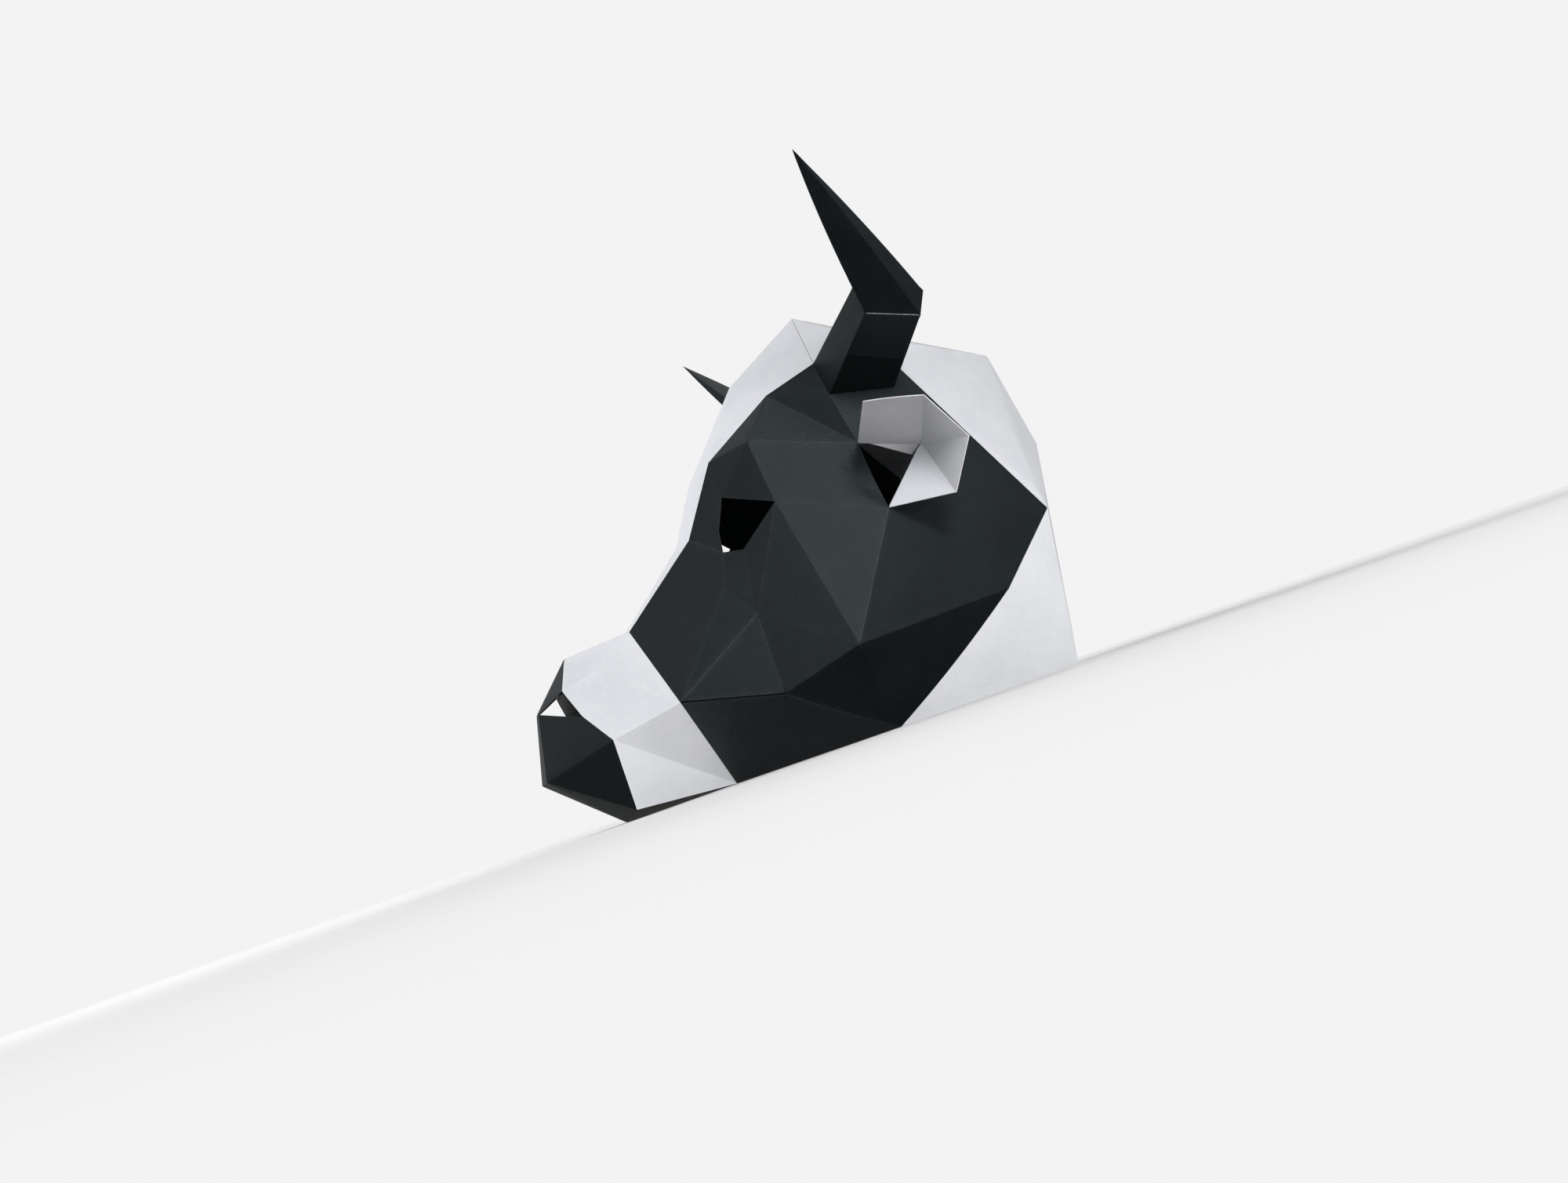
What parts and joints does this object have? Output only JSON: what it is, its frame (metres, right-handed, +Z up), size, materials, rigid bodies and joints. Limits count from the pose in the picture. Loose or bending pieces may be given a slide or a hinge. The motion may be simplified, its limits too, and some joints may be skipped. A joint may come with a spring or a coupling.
{
  "type": "paper cow mask",
  "caption": "Hollow low-poly cow head mask of folded black and white card, worn over the head, with open eyes, nostrils and ears, and elbowed horns.",
  "frame": {"origin": "on the ground under the middle of the mask's box, with the mask standing on its neck rim and chin keel", "axes": "+Z up, -Y the way the face looks, +X the mask's left side"},
  "size_m": [0.434, 0.419, 0.345],
  "materials": {
    "white_card": "matte uncoated card, fine grain",
    "black_card": "matte through-dyed black card, fine grain"
  },
  "bodies": {
    "root": {"blaze": "white_card", "crown": "white_card", "muzzle": "white_card", "nose": "black_card", "cheek_left": "black_card", "cheek_right": "black_card", "jaw_left": "black_card", "jaw_right": "black_card", "horn_base_left": "black_card", "horn_base_right": "black_card", "horn_tip_left": "black_card", "horn_tip_right": "black_card", "ear_left": "white_card", "ear_right": "white_card"}
  },
  "joints": []
}
